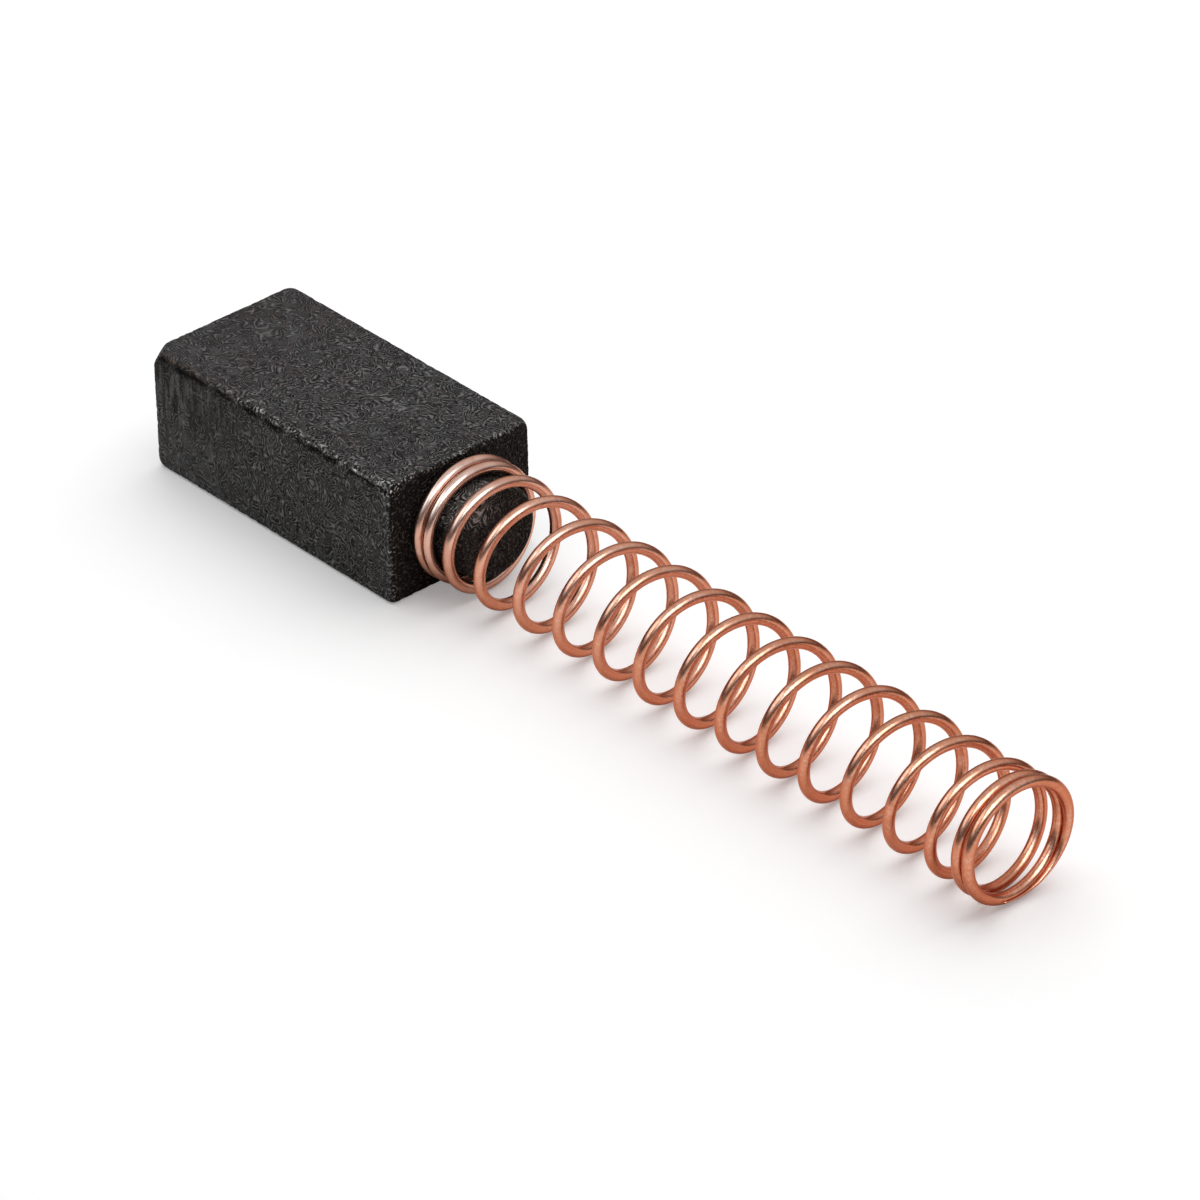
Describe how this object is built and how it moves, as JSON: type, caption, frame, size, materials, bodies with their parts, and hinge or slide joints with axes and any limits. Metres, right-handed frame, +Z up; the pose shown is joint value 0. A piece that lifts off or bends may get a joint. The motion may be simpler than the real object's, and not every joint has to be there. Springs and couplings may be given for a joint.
{
  "type": "carbon brush",
  "caption": "Small worn block of carbon graphite with a moulded spigot on one end and a long open coil spring of copper-coloured wire pressed over it.",
  "frame": {"origin": "middle of the block's underside", "axes": "+X along the spring, away from the face that wears; +Y across the block's width; +Z up from the underside"},
  "size_m": [0.0508, 0.008, 0.006],
  "materials": {
    "graphite": "pressed and sintered carbon graphite, matt with fine glints",
    "copper_wire": "bright drawn copper"
  },
  "bodies": {
    "root": {"carbon_block": "graphite", "spring": "copper_wire"}
  },
  "joints": []
}
